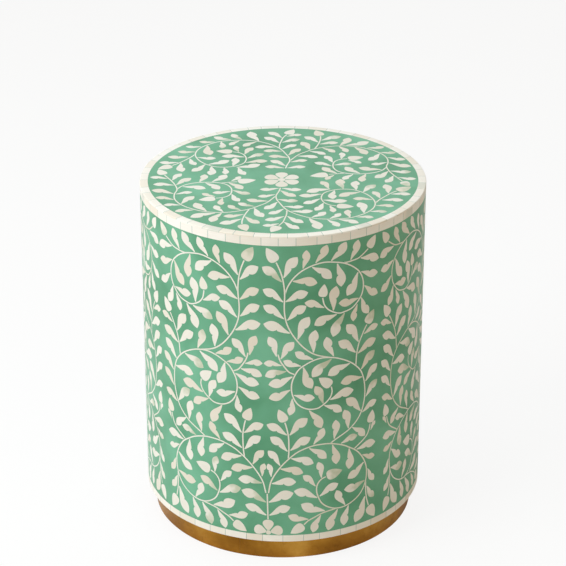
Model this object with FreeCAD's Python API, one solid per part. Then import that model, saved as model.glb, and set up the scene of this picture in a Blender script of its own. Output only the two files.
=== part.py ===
import FreeCAD, Part
import math
import os

os.makedirs("parts", exist_ok=True)

# overall sizes in mm, angles in degrees
table_diameter = 450.0
table_height = 568.0
plinth_height = 38.5
plinth_recess = 13.3
rim_edge_height = 15.2
foot_band_height = 11.8
rim_ring_width = 12.5
rim_round = 1.2

# inlay sizes
inlay_thickness = 2.5
inlay_gap = 0.3
vine_width = 2.1
tile_joint = 0.6
rim_tile_count = 51
ring_tile_count = 52
foot_tile_count = 46
tile_wander_share = 0.09
tile_wander_turn = 2.4

# drum sizes
shell_thickness = 6.0
hoop_width = 40.0
hoop_thickness = 18.0
stud_count = 6
stud_width = 34.0
stud_depth = 24.0
cut_overrun = 1.0

# plinth sizes
plinth_ring_width = 45.0
brass_thickness = 0.9
brass_floor_gap = 0.6
pad_thickness = 2.5
pad_diameter = 26.0
brass_seam_degrees = (-19.0, 101.0, 221.0)

# screw sizes
head_diameter = 8.0
head_height = 3.2
shank_diameter = 4.0
tip_length = 3.0
stud_bite = 30.0
hoop_bite = 12.0
panel_bite = 8.0

# vine units round the drum, the front one wider than the others
front_unit_degrees = 98.3
front_axis_degrees = -7.4
axis_lean_degrees = -3.1
axis_foot_share = 0.024
axis_lean_share = 0.063
half_turn = 180.0
full_turn = 360.0

# places derived from the sizes
outer_radius = table_diameter / 2
core_radius = outer_radius - inlay_thickness
shell_radius = core_radius - shell_thickness
field_foot = plinth_height + foot_band_height
field_head = table_height - rim_edge_height
field_height = field_head - field_foot
panel_head = table_height - inlay_thickness
ring_radius = outer_radius - rim_ring_width
front_half = math.radians(front_unit_degrees / 2)
side_half = math.radians((full_turn - front_unit_degrees) / 6)
half_width = front_half * outer_radius
plinth_radius = outer_radius - plinth_recess
plinth_core_radius = plinth_radius - brass_thickness
plinth_ring_radius = plinth_core_radius - plinth_ring_width
plinth_middle_radius = plinth_core_radius - plinth_ring_width / 2
plinth_ring_height = (plinth_height - pad_thickness) / 2
hoop_middle_radius = shell_radius - hoop_width / 2
stud_middle_radius = shell_radius - stud_depth / 2

# leaf outline along its length, the notch on the positive side
leaf_belly_shares = ((0.0, -0.022), (0.30, -0.07), (0.70, -0.52), (1.0, 0.0))
leaf_lobe_shares = ((1.0, 0.0), (0.88, 0.14), (0.62, 0.25), (0.48, 0.036))
leaf_notch_shares = ((0.48, 0.036), (0.445, 0.072))
leaf_neck_shares = ((0.445, 0.072), (0.35, 0.095), (0.17, 0.055), (0.0, 0.022))
leaf_foot_shares = ((0.0, 0.022), (0.0, -0.022))
leaf_shares = (leaf_belly_shares, leaf_lobe_shares, leaf_notch_shares, leaf_neck_shares, leaf_foot_shares)

# bud outline, an egg with a pointed end
bud_shares = (
    ((0.0, -0.05), (0.0, -0.50), (0.60, -0.38), (1.0, 0.0)),
    ((1.0, 0.0), (0.60, 0.38), (0.0, 0.50), (0.0, 0.05)),
    ((0.0, 0.05), (0.0, -0.05)),
)

# petal outline, narrow at the heart and round outside
petal_shares = (
    ((0.0, -0.10), (0.26, -0.27), (0.42, -0.44), (0.64, -0.44)),
    ((0.64, -0.44), (0.85, -0.44), (1.0, -0.25), (1.0, 0.0)),
    ((1.0, 0.0), (1.0, 0.25), (0.85, 0.44), (0.64, 0.44)),
    ((0.64, 0.44), (0.42, 0.44), (0.26, 0.27), (0.0, 0.10)),
    ((0.0, 0.10), (0.0, -0.10)),
)

# flowers
side_heart_radius = 4.0
side_petal_length = 19.0
side_flower_height = 4.8
side_petal_degrees = (90.0, 16.0, 164.0)
side_petal_width_share = 1.04
top_heart_radius = 6.0
top_petal_length = 23.0
top_petal_count = 6
top_petal_width_share = 0.96
top_flower_shares = (-0.01, -0.03)
heart_arc_share = 0.5523

# how a leaf gives way to its neighbours
leaf_size_shares = (1.0, 0.94, 0.88, 0.82, 0.76, 0.70, 0.64)
leaf_slide_shares = (-0.10, -0.07, -0.05, -0.03, -0.01, 0.01, 0.03, 0.05, 0.08, 0.11, 0.14, 0.18, 0.22)
curve_steps = 6
span_steps = 5
span_handle_share = 1.0 / 3.0

# trunk of one side unit, then the vine routes of its right half
trunk_shares = ((0.0204, 0.0575), (0.0177, 0.1), (0.0146, 0.150))
side_route_shares = (
    ((0.0255, 0.153), (0.042, 0.19), (0.07, 0.215), (0.11, 0.24), (0.15, 0.26), (0.20, 0.28), (0.26, 0.299),
     (0.33, 0.3115), (0.40, 0.3185), (0.48, 0.3195), (0.53, 0.3175), (0.60, 0.31), (0.66, 0.30), (0.70, 0.29),
     (0.75, 0.277), (0.79, 0.262), (0.83, 0.24), (0.855, 0.22), (0.87, 0.20), (0.874, 0.18), (0.87, 0.16),
     (0.86, 0.144), (0.84, 0.126), (0.81, 0.11), (0.76, 0.095), (0.70, 0.084), (0.63, 0.079), (0.56, 0.083),
     (0.50, 0.095), (0.46, 0.11), (0.435, 0.13), (0.42, 0.15), (0.42, 0.17), (0.435, 0.185), (0.46, 0.195),
     (0.495, 0.2015)),
    ((0.53, 0.3175), (0.57, 0.328), (0.62, 0.338), (0.70, 0.355), (0.77, 0.38), (0.81, 0.405), (0.83, 0.43),
     (0.842, 0.46), (0.84, 0.49), (0.827, 0.52), (0.80, 0.548), (0.75, 0.572), (0.69, 0.591), (0.62, 0.606),
     (0.55, 0.616), (0.46, 0.6205), (0.38, 0.614), (0.31, 0.60), (0.27, 0.588), (0.24, 0.57), (0.215, 0.545),
     (0.21, 0.52), (0.222, 0.495), (0.25, 0.473), (0.29, 0.458), (0.35, 0.448), (0.42, 0.448), (0.46, 0.456),
     (0.50, 0.468), (0.53, 0.483), (0.542, 0.50), (0.535, 0.517)),
    ((0.53, 0.618), (0.47, 0.6245), (0.42, 0.631), (0.37, 0.641), (0.31, 0.66), (0.255, 0.685), (0.205, 0.715),
     (0.168, 0.75), (0.153, 0.79), (0.156, 0.84), (0.15, 0.87), (0.136, 0.90), (0.115, 0.925), (0.09, 0.947)),
    ((0.156, 0.84), (0.172, 0.86), (0.19, 0.875), (0.225, 0.895), (0.28, 0.915), (0.34, 0.928), (0.40, 0.936),
     (0.47, 0.940), (0.55, 0.936), (0.62, 0.929), (0.68, 0.918), (0.73, 0.904), (0.77, 0.888), (0.80, 0.865),
     (0.81, 0.84), (0.80, 0.815), (0.78, 0.80), (0.74, 0.782), (0.70, 0.771), (0.64, 0.765), (0.60, 0.7635),
     (0.55, 0.770), (0.50, 0.783), (0.47, 0.80), (0.456, 0.823)),
    ((0.62, 0.929), (0.66, 0.9285), (0.70, 0.930), (0.76, 0.934), (0.81, 0.945), (0.85, 0.956)),
    ((0.24, 0.57), (0.19, 0.58), (0.15, 0.60), (0.125, 0.615), (0.11, 0.63), (0.104, 0.64)),
    ((0.75, 0.571), (0.753, 0.59), (0.755, 0.605), (0.76, 0.62), (0.775, 0.645), (0.80, 0.667), (0.83, 0.69),
     (0.85, 0.702)),
    ((0.185, 0.275), (0.19, 0.30), (0.19, 0.33), (0.187, 0.355), (0.178, 0.375), (0.166, 0.395), (0.158, 0.405)),
    ((0.60, 0.0795), (0.565, 0.078), (0.52, 0.0755), (0.46, 0.07), (0.40, 0.059), (0.35, 0.049), (0.315, 0.036)),
    ((0.866, 0.152), (0.867, 0.135), (0.869, 0.115), (0.876, 0.09), (0.889, 0.07), (0.90, 0.056)),
    ((0.745, 0.279), (0.79, 0.291), (0.83, 0.301), (0.87, 0.315), (0.89, 0.33), (0.903, 0.351)),
)

# buds at the ends of the side routes, foot then tip
side_bud_shares = (
    (0.085, 0.951, 0.012, 0.994), (0.455, 0.828, 0.47, 0.868), (0.855, 0.958, 0.922, 0.995),
    (0.53, 0.522, 0.43, 0.553), (0.853, 0.706, 0.92, 0.747), (0.155, 0.409, 0.107, 0.451),
    (0.905, 0.354, 0.925, 0.398), (0.505, 0.203, 0.64, 0.215), (0.31, 0.033, 0.205, 0.006),
    (0.902, 0.053, 0.968, 0.006),
)

# side leaves, foot then tip then the side of the notch
side_leaf_shares = (
    (0.135, 0.883, -0.020, 0.931, 1), (0.145, 0.895, 0.255, 0.964, -1), (0.14, 0.818, -0.015, 0.857, 1),
    (0.165, 0.818, 0.34, 0.846, -1), (0.145, 0.762, -0.012, 0.803, 1), (0.175, 0.755, 0.325, 0.801, -1),
    (0.19, 0.713, -0.012, 0.742, 1), (0.258, 0.69, 0.35, 0.764, -1), (0.385, 0.643, 0.40, 0.718, -1),
    (0.295, 0.918, 0.325, 0.985, 1), (0.39, 0.936, 0.49, 0.996, 1), (0.52, 0.940, 0.65, 0.996, 1),
    (0.69, 0.934, 0.755, 0.9945, 1), (0.775, 0.933, 0.960, 0.913, -1), (0.225, 0.885, 0.413, 0.874, -1),
    (0.375, 0.927, 0.53, 0.884, -1), (0.575, 0.930, 0.61, 0.851, -1), (0.76, 0.889, 0.952, 0.867, 1),
    (0.755, 0.885, 0.66, 0.817, -1), (0.815, 0.838, 0.955, 0.796, 1), (0.775, 0.80, 0.59, 0.797, -1),
    (0.79, 0.80, 0.865, 0.739, 1), (0.765, 0.796, 0.72, 0.726, 1), (0.64, 0.76, 0.545, 0.687, 1),
    (0.58, 0.762, 0.39, 0.734, 1), (0.545, 0.775, 0.57, 0.856, -1), (0.49, 0.787, 0.312, 0.812, 1),
    (0.81, 0.672, 0.965, 0.69, -1), (0.775, 0.65, 0.66, 0.72, 1), (0.555, 0.617, 0.49, 0.69, -1),
    (0.12, 0.622, 0.23, 0.682, -1), (0.10, 0.625, 0.03, 0.70, 1),
    (0.125, 0.603, -0.010, 0.608, 1), (0.17, 0.583, 0.0, 0.564, 1), (0.235, 0.566, 0.028, 0.535, -1),
    (0.205, 0.519, 0.03, 0.488, -1), (0.29, 0.598, 0.145, 0.619, -1), (0.395, 0.616, 0.237, 0.648, -1),
    (0.305, 0.593, 0.375, 0.519, 1), (0.535, 0.613, 0.375, 0.558, 1), (0.70, 0.586, 0.505, 0.557, 1),
    (0.81, 0.527, 0.615, 0.523, 1), (0.765, 0.612, 0.945, 0.645, -1), (0.805, 0.555, 0.935, 0.605, -1),
    (0.845, 0.507, 0.965, 0.556, -1), (0.85, 0.453, 0.968, 0.50, -1), (0.82, 0.402, 0.965, 0.428, -1),
    (0.80, 0.41, 0.665, 0.465, 1), (0.755, 0.615, 0.59, 0.668, 1), (0.47, 0.462, 0.40, 0.526, 1),
    (0.52, 0.472, 0.733, 0.490, -1), (0.475, 0.456, 0.63, 0.424, -1), (0.225, 0.50, 0.398, 0.486, 1),
    (0.22, 0.495, 0.195, 0.43, -1), (0.355, 0.443, 0.455, 0.377, -1), (0.18, 0.36, 0.012, 0.397, 1),
    (0.195, 0.36, 0.34, 0.417, -1), (0.69, 0.36, 0.65, 0.427, 1), (0.565, 0.335, 0.575, 0.398, 1),
    (0.39, 0.322, 0.475, 0.377, 1), (0.73, 0.357, 0.85, 0.315, -1), (0.905, 0.325, 0.968, 0.362, -1),
    (0.175, 0.305, 0.04, 0.354, 1), (0.20, 0.306, 0.365, 0.348, -1), (0.125, 0.25, 0.022, 0.305, 1),
    (0.053, 0.204, 0.020, 0.262, 1), (0.055, 0.188, 0.25, 0.193, -1), (0.03, 0.12, 0.228, 0.154, -1),
    (0.03, 0.072, 0.203, 0.103, -1), (0.135, 0.24, 0.307, 0.224, -1), (0.215, 0.277, 0.392, 0.255, -1),
    (0.36, 0.309, 0.50, 0.267, -1), (0.55, 0.314, 0.585, 0.24, -1), (0.70, 0.288, 0.70, 0.212, -1),
    (0.605, 0.309, 0.787, 0.326, -1), (0.755, 0.275, 0.962, 0.279, -1), (0.82, 0.25, 0.958, 0.230, 1),
    (0.848, 0.222, 0.69, 0.178, -1), (0.873, 0.20, 0.955, 0.142, 1), (0.86, 0.153, 0.658, 0.140, -1),
    (0.88, 0.128, 0.958, 0.080, 1), (0.866, 0.098, 0.765, 0.01, -1), (0.70, 0.079, 0.66, 0.01, 1),
    (0.60, 0.074, 0.52, 0.004, 1), (0.455, 0.065, 0.39, 0.004, 1), (0.365, 0.053, 0.185, 0.072, -1),
    (0.50, 0.076, 0.29, 0.112, -1), (0.425, 0.13, 0.232, 0.161, 1), (0.43, 0.131, 0.605, 0.169, -1),
    (0.415, 0.17, 0.305, 0.215, 1), (0.46, 0.198, 0.43, 0.258, 1), (0.67, 0.084, 0.59, 0.145, -1),
)

# vine routes of the top's front half, in shares of the green field's radius
top_route_shares = (
    ((-0.019, -0.185), (-0.03, -0.25), (-0.05, -0.33), (-0.045, -0.40), (-0.025, -0.46), (0.0, -0.53),
     (0.03, -0.59), (0.07, -0.64), (0.13, -0.69), (0.20, -0.73), (0.30, -0.75), (0.40, -0.745), (0.48, -0.725),
     (0.55, -0.68), (0.61, -0.62), (0.65, -0.55), (0.665, -0.47), (0.655, -0.40), (0.62, -0.32), (0.56, -0.25),
     (0.50, -0.215), (0.42, -0.21), (0.35, -0.235), (0.30, -0.28), (0.28, -0.34), (0.28, -0.40), (0.30, -0.46),
     (0.34, -0.50), (0.38, -0.512)),
    ((-0.05, -0.33), (-0.08, -0.39), (-0.12, -0.46), (-0.18, -0.52), (-0.23, -0.565), (-0.30, -0.60),
     (-0.40, -0.63), (-0.50, -0.63), (-0.58, -0.61), (-0.65, -0.57), (-0.70, -0.53), (-0.75, -0.47),
     (-0.785, -0.39), (-0.79, -0.30), (-0.775, -0.22), (-0.79, -0.14), (-0.82, -0.06), (-0.85, 0.0),
     (-0.88, 0.06)),
    ((-0.775, -0.21), (-0.74, -0.15), (-0.69, -0.11), (-0.62, -0.085), (-0.53, -0.08), (-0.46, -0.095),
     (-0.41, -0.13), (-0.38, -0.19), (-0.375, -0.26), (-0.39, -0.32), (-0.43, -0.36), (-0.485, -0.376)),
    ((-0.24, -0.57), (-0.26, -0.63), (-0.28, -0.71), (-0.29, -0.78), (-0.29, -0.835)),
    ((0.668, -0.46), (0.70, -0.40), (0.75, -0.33), (0.79, -0.28), (0.83, -0.242)),
    ((0.028, -0.59), (0.025, -0.67), (0.012, -0.74), (0.0, -0.80), (-0.03, -0.865)),
    ((-0.46, -0.095), (-0.42, -0.085), (-0.38, -0.077), (-0.34, -0.071)),
)
top_bud_shares = (
    (-0.50, -0.38, -0.61, -0.41), (-0.29, -0.845, -0.255, -0.955), (0.39, -0.515, 0.51, -0.53),
    (0.84, -0.235, 0.94, -0.165), (-0.035, -0.875, -0.085, -0.975), (-0.33, -0.07, -0.20, -0.035),
    (-0.888, 0.075, -0.93, 0.165),
)
top_leaf_shares = (
    (-0.86, -0.01, -0.985, 0.015, 1), (-0.82, -0.045, -0.755, 0.085, -1), (-0.805, -0.135, -0.955, -0.12, 1),
    (-0.785, -0.13, -0.68, 0.0, -1), (-0.80, -0.29, -0.96, -0.225, 1), (-0.775, -0.30, -0.66, -0.265, -1),
    (-0.795, -0.40, -0.925, -0.36, 1), (-0.73, -0.47, -0.645, -0.34, -1), (-0.745, -0.50, -0.86, -0.50, 1),
    (-0.65, -0.59, -0.775, -0.615, 1), (-0.545, -0.615, -0.635, -0.46, -1), (-0.43, -0.62, -0.49, -0.505, -1),
    (-0.48, -0.64, -0.66, -0.72, 1), (-0.44, -0.645, -0.51, -0.80, 1), (-0.295, -0.60, -0.395, -0.50, -1),
    (-0.285, -0.67, -0.425, -0.70, -1), (-0.30, -0.75, -0.45, -0.83, -1), (-0.27, -0.71, -0.165, -0.825, 1),
    (-0.205, -0.56, -0.14, -0.715, 1), (-0.215, -0.52, -0.325, -0.46, -1), (-0.11, -0.43, -0.265, -0.40, -1),
    (-0.06, -0.31, -0.185, -0.345, -1), (-0.04, -0.195, -0.17, -0.215, -1), (-0.375, -0.30, -0.315, -0.435, 1),
    (-0.44, -0.375, -0.445, -0.50, 1), (-0.37, -0.23, -0.235, -0.30, 1), (-0.385, -0.25, -0.515, -0.275, -1),
    (-0.47, -0.36, -0.59, -0.285, -1), (-0.57, -0.09, -0.465, -0.215, -1), (-0.72, -0.165, -0.565, -0.20, -1),
    (-0.39, -0.10, -0.295, -0.21, -1), (-0.40, -0.085, -0.31, 0.04, 1), (-0.52, -0.07, -0.42, 0.065, 1),
    (-0.615, -0.08, -0.58, 0.07, 1), (-0.315, -0.075, -0.205, -0.185, -1), (0.005, -0.195, 0.135, -0.22, 1),
    (-0.015, -0.24, 0.095, -0.345, 1), (-0.03, -0.40, 0.11, -0.425, 1), (0.015, -0.525, 0.15, -0.53, 1),
    (0.065, -0.61, 0.215, -0.605, 1), (0.205, -0.72, 0.305, -0.62, 1), (0.335, -0.74, 0.41, -0.645, 1),
    (0.475, -0.715, 0.465, -0.585, -1), (0.49, -0.71, 0.645, -0.72, -1), (0.385, -0.75, 0.535, -0.82, -1),
    (0.315, -0.76, 0.395, -0.88, -1), (0.185, -0.73, 0.255, -0.925, -1), (0.03, -0.70, 0.145, -0.815, 1),
    (0.005, -0.80, 0.115, -0.92, 1), (-0.005, -0.71, -0.13, -0.77, -1), (-0.03, -0.83, -0.145, -0.865, -1),
    (-0.005, -0.58, -0.105, -0.66, -1), (-0.05, -0.46, -0.135, -0.575, -1), (0.29, -0.47, 0.23, -0.60, -1),
    (0.335, -0.50, 0.36, -0.63, -1), (0.30, -0.41, 0.465, -0.425, 1), (0.27, -0.385, 0.145, -0.475, -1),
    (0.285, -0.30, 0.115, -0.33, -1), (0.33, -0.21, 0.17, -0.265, 1), (0.375, -0.235, 0.36, -0.39, 1),
    (0.545, -0.27, 0.405, -0.345, 1), (0.64, -0.40, 0.505, -0.385, 1), (0.58, -0.64, 0.55, -0.45, 1),
    (0.71, -0.39, 0.655, -0.25, 1), (0.77, -0.30, 0.75, -0.12, 1), (0.585, -0.26, 0.68, -0.125, -1),
    (0.535, -0.22, 0.54, -0.055, -1), (0.44, -0.195, 0.425, -0.02, -1), (0.335, -0.195, 0.28, -0.06, 1),
    (0.80, -0.30, 0.93, -0.305, -1), (0.73, -0.41, 0.872, -0.415, -1), (0.67, -0.51, 0.80, -0.52, -1),
    (0.62, -0.615, 0.745, -0.62, -1),
)

vector = FreeCAD.Vector
flat_vector = FreeCAD.Base.Vector2d
origin = vector(0, 0, 0)
upright = vector(0, 0, 1)


def export(name, shape):
    shape.exportStep("parts/%s.step" % name)


def group(solids):
    return Part.makeCompound(solids)


# a closed profile swept round the axis
def swept(profile, start_degrees, sweep_degrees):
    face = Part.Face(profile)
    face.rotate(origin, upright, start_degrees)
    return face.revolve(origin, upright, sweep_degrees)


def box_profile(inner, outer, foot, head):
    corners = [(inner, foot), (outer, foot), (outer, head), (inner, head), (inner, foot)]
    return Part.makePolygon([vector(r, 0, z) for r, z in corners])


def ring(inner, outer, foot, head):
    return swept(box_profile(inner, outer, foot, head), 0, full_turn)


def disc(radius, foot, head):
    return Part.makeCylinder(radius, head - foot, vector(0, 0, foot))


def round_about(radius, degrees, height):
    angle = math.radians(degrees)
    return vector(radius * math.sin(angle), -radius * math.cos(angle), height)


# a countersunk screw with its head face at the given place, driven up or down
def screw(length, place, up):
    head = Part.makeCone(head_diameter / 2, shank_diameter / 2, head_height)
    shank = Part.makeCylinder(shank_diameter / 2, length - head_height - tip_length, vector(0, 0, head_height))
    tip = Part.makeCone(shank_diameter / 2, 0, tip_length, vector(0, 0, length - tip_length))
    body = head.fuse([shank, tip]).removeSplitter()
    if not up:
        body.rotate(origin, vector(1, 0, 0), half_turn)
    body.translate(place)
    return body.Solids[0]


def screw_circle(count, offset_degrees, radius, height, length, up):
    step = full_turn / count
    return [screw(length, round_about(radius, offset_degrees + i * step, height), up) for i in range(count)]


# points along one edge, straight or curved
def along(poles, steps):
    if len(poles) == 2:
        (ax, ay), (bx, by) = poles
        return [(ax + (bx - ax) * i / steps, ay + (by - ay) * i / steps) for i in range(steps)]
    points = []
    for i in range(steps):
        t = i / steps
        weights = ((1 - t) ** 3, 3 * t * (1 - t) ** 2, 3 * t * t * (1 - t), t ** 3)
        points.append(tuple(sum(w * p[k] for w, p in zip(weights, poles)) for k in (0, 1)))
    return points


def outline_points(outline):
    return [p for poles in outline for p in along(poles, curve_steps if len(poles) > 2 else 1)]


def bounds(points, margin):
    xs, ys = [p[0] for p in points], [p[1] for p in points]
    return min(xs) - margin, min(ys) - margin, max(xs) + margin, max(ys) + margin


def boxes_meet(a, b):
    return a[0] < b[2] and b[0] < a[2] and a[1] < b[3] and b[1] < a[3]


def point_to_edge(p, a, b):
    dx, dy = b[0] - a[0], b[1] - a[1]
    length2 = dx * dx + dy * dy
    t = 0.0 if length2 == 0 else max(0.0, min(1.0, ((p[0] - a[0]) * dx + (p[1] - a[1]) * dy) / length2))
    return math.hypot(p[0] - a[0] - t * dx, p[1] - a[1] - t * dy)


def line_distance(points, line, closed):
    edges = list(zip(line, line[1:] + line[:1] if closed else line[1:]))
    return min(point_to_edge(p, a, b) for p in points for a, b in edges)


def holds(polygon, p):
    inside = False
    for a, b in zip(polygon, polygon[1:] + polygon[:1]):
        if (a[1] > p[1]) != (b[1] > p[1]):
            if p[0] < a[0] + (b[0] - a[0]) * (p[1] - a[1]) / (b[1] - a[1]):
                inside = not inside
    return inside


def side_of(a, b, p):
    return (b[0] - a[0]) * (p[1] - a[1]) - (b[1] - a[1]) * (p[0] - a[0])


def edges_cross(polygon, line, closed):
    for a, b in zip(polygon, polygon[1:] + polygon[:1]):
        for c, d in zip(line, line[1:] + line[:1] if closed else line[1:]):
            if side_of(a, b, c) * side_of(a, b, d) < 0 and side_of(c, d, a) * side_of(c, d, b) < 0:
                return True
    return False


# true where an outline keeps the resin gap to every piece laid before it
def clears(points, laid):
    box = bounds(points, inlay_gap)
    for line, closed, half, line_box in laid:
        if not boxes_meet(box, line_box):
            continue
        if holds(points, line[0]) or (closed and holds(line, points[0])):
            return False
        if edges_cross(points, line, closed):
            return False
        reach = inlay_gap + half
        if line_distance(points, line, closed) < reach or line_distance(line, points, True) < reach:
            return False
    return True


def laid_outline(points):
    return points, True, 0.0, bounds(points, 0.0)


# a shape drawn in shares of its length, set from a foot point towards a tip point
def set_shape(shares, foot, tip, side):
    dx, dy = tip[0] - foot[0], tip[1] - foot[1]
    return [[(foot[0] + dx * t - dy * w * side, foot[1] + dy * t + dx * w * side) for t, w in poles]
            for poles in shares]


# the leaf nearest its drawn size that clears its neighbours, or none
def fit_leaf(shares, foot, tip, side, laid, inside):
    for size in leaf_size_shares:
        for slide in leaf_slide_shares:
            start = (foot[0] + (tip[0] - foot[0]) * slide, foot[1] + (tip[1] - foot[1]) * slide)
            end = (foot[0] + (tip[0] - foot[0]) * size, foot[1] + (tip[1] - foot[1]) * size)
            outline = set_shape(shares, start, end, side)
            points = outline_points(outline)
            if all(inside(p) for p in points) and clears(points, laid):
                laid.append(laid_outline(points))
                return outline
    return None


def tangents(route):
    ends = [route[0]] + list(route) + [route[-1]]
    return [(b[0] - a[0], b[1] - a[1]) for a, b in zip(ends, ends[2:])]


# smooth spans through the route points, as four poles each
def spans_through(route):
    spans = []
    directions = tangents(route)
    for a, b, da, db in zip(route, route[1:], directions, directions[1:]):
        reach = math.hypot(b[0] - a[0], b[1] - a[1]) * span_handle_share
        la, lb = math.hypot(*da), math.hypot(*db)
        spans.append((a, (a[0] + da[0] * reach / la, a[1] + da[1] * reach / la),
                      (b[0] - db[0] * reach / lb, b[1] - db[1] * reach / lb), b))
    return spans


def offset_route(route, distance):
    moved = []
    for p, d in zip(route, tangents(route)):
        length = math.hypot(*d)
        moved.append((p[0] - d[1] * distance / length, p[1] + d[0] * distance / length))
    return moved


# one edge of a vine from where it first clears the vines laid before it
def trimmed(route, near, inside):
    spans = spans_through(route)
    for index, span in enumerate(spans):
        for point in along(span, 4 * span_steps):
            gaps = [line_distance([point], line, False) - half for line, closed, half, box in near]
            if inside(point) and all(gap >= inlay_gap for gap in gaps):
                rest = list(route[index + 1:])
                if len(rest) > 1 and math.hypot(rest[0][0] - point[0], rest[0][1] - point[1]) < vine_width:
                    rest = rest[1:]
                return [point] + rest
    return None


# a vine strip of even width along a route, cut to lie against the vine that it springs from
def vine_outline(route, laid, inside):
    near = [e for e in laid if not e[1]]
    left, right = (trimmed(offset_route(route, side * vine_width / 2), near, inside) for side in (1, -1))
    for span in spans_through(route):
        line = along(span, span_steps) + [span[3]]
        laid.append((line, False, vine_width / 2, bounds(line, vine_width / 2)))
    sides = spans_through(right)
    back = [tuple(reversed(s)) for s in reversed(spans_through(left))]
    return sides + [(right[-1], left[-1])] + back + [(left[0], right[0])]


def heart_outline(centre, radius):
    x, y = centre
    k = radius * heart_arc_share
    quarter = [(radius, 0), (radius, k), (k, radius), (0, radius)]
    turns = ((1, 0, 0, 1), (0, -1, 1, 0), (-1, 0, 0, -1), (0, 1, -1, 0))
    return [[(x + a * px + b * py, y + c * px + d * py) for px, py in quarter] for a, b, c, d in turns]


def flower_outlines(centre, heart, petal, width_share, degrees, laid):
    outlines = [heart_outline(centre, heart)]
    for angle in (math.radians(d) for d in degrees):
        start, end = heart + inlay_gap, heart + inlay_gap + petal
        foot = (centre[0] + start * math.cos(angle), centre[1] + start * math.sin(angle))
        tip = (centre[0] + end * math.cos(angle), centre[1] + end * math.sin(angle))
        outlines.append(set_shape(petal_shares, foot, tip, width_share))
    laid.extend(laid_outline(outline_points(o)) for o in outlines)
    return outlines


# a table place on the leaning vine axis, as lengths from the axis and above the field's foot
def side_place(x, y):
    return (x - axis_foot_share + axis_lean_share * y) * half_width, y * field_height


def top_place(x, y):
    return x * ring_radius, y * ring_radius


def in_half_unit(p):
    return inlay_gap < p[0] < half_width - inlay_gap and inlay_gap < p[1] < field_height - inlay_gap


def in_unit(p):
    return 0.0 < p[1] < field_height


def in_top_field(p):
    return math.hypot(*p) < ring_radius - inlay_gap


# right half of a side unit, with the pieces on its axis apart
def side_pattern():
    laid = []
    flower = flower_outlines((0.0, side_flower_height), side_heart_radius, side_petal_length,
                             side_petal_width_share, side_petal_degrees, laid)
    axis = [vine_outline([side_place(*p) for p in trunk_shares], laid, in_unit)]
    vines, leaves = [], []
    for shares in side_route_shares:
        vines.append(vine_outline([side_place(*p) for p in shares], laid, in_half_unit))
    for bx, by, tx, ty in side_bud_shares:
        leaves.append(fit_leaf(bud_shares, side_place(bx, by), side_place(tx, ty), 1, laid, in_half_unit))
    for bx, by, tx, ty, side in side_leaf_shares:
        leaves.append(fit_leaf(leaf_shares, side_place(bx, by), side_place(tx, ty), side, laid, in_half_unit))
    return flower, axis, vines, [o for o in leaves if o]


# whole top, its back half the front half turned about the centre
def top_pattern():
    laid = []
    degrees = [full_turn * (i + 0.5) / top_petal_count for i in range(top_petal_count)]
    flower = flower_outlines(top_place(*top_flower_shares), top_heart_radius, top_petal_length,
                             top_petal_width_share, degrees, laid)
    vines, leaves = [], []
    for turn in (1, -1):
        for shares in top_route_shares:
            route = [top_place(turn * x, turn * y) for x, y in shares]
            vines.append(vine_outline(route, laid, in_top_field))
    for turn in (1, -1):
        for bx, by, tx, ty in top_bud_shares:
            foot, tip = top_place(turn * bx, turn * by), top_place(turn * tx, turn * ty)
            leaves.append(fit_leaf(bud_shares, foot, tip, 1, laid, in_top_field))
        for bx, by, tx, ty, side in top_leaf_shares:
            foot, tip = top_place(turn * bx, turn * by), top_place(turn * tx, turn * ty)
            leaves.append(fit_leaf(leaf_shares, foot, tip, side, laid, in_top_field))
    return flower, vines, [o for o in leaves if o]


# one outline as a closed wire on a drum surface, about the surface's far side
def drum_wire(surface, outline, squeeze, mirror):
    edges = []
    for poles in outline:
        spots = [flat_vector(math.pi + mirror * x * squeeze / outer_radius
                             + math.radians(axis_lean_degrees) * (y / field_height - 0.5), field_foot + y)
                 for x, y in poles]
        if len(spots) == 2:
            edges.append(Part.Geom2d.Line2dSegment(spots[0], spots[1]).toShape(surface))
        else:
            curve = Part.Geom2d.BezierCurve2d()
            curve.setPoles(spots)
            edges.append(curve.toShape(surface))
    return Part.Wire(edges)


def closed_solid(faces):
    shell = Part.makeShell(faces)
    shell.sewShape()
    return Part.Solid(shell)


# every piece of one side unit, with the resin left between the bone pieces
def side_unit(pattern, unit_half):
    outer, inner = Part.Cylinder(), Part.Cylinder()
    outer.Radius, inner.Radius = outer_radius, core_radius
    squeeze = unit_half / front_half
    flower, axis, vines, leaves = pattern
    jobs = [("flower", o, 1) for o in flower] + [("vine", o, 1) for o in axis]
    for mirror in (1, -1):
        jobs += [("vine", o, mirror) for o in vines] + [("leaf", o, mirror) for o in leaves]
    pieces = {"flower": [], "vine": [], "leaf": []}
    holes = []
    for kind, outline, mirror in jobs:
        wires = [drum_wire(s, outline, squeeze, mirror) for s in (outer, inner)]
        walls = Part.makeLoft(wires, False, True).Faces
        pieces[kind].append(closed_solid([Part.Face(outer, wires[0]), Part.Face(inner, wires[1])] + walls))
        holes.append((wires, walls))
    width, height = half_width, field_height
    corners = [(-width, 0.0), (width, 0.0), (width, height), (-width, height)]
    border = [poles for poles in zip(corners, corners[1:] + corners[:1])]
    rims = [drum_wire(s, border, squeeze, 1) for s in (outer, inner)]
    faces = []
    for index, surface in enumerate((outer, inner)):
        face = Part.Face(surface, rims[index])
        face.cutHoles([wires[index] for wires, walls in holes])
        face.validate()
        faces.append(face)
    faces += Part.makeLoft(rims, False, True).Faces
    for wires, walls in holes:
        faces += walls
    pieces["resin"] = [closed_solid(faces)]
    return pieces


def turned(solids, degrees):
    copies = [s.copy() for s in solids]
    for s in copies:
        s.rotate(origin, upright, degrees)
    return copies


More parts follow.
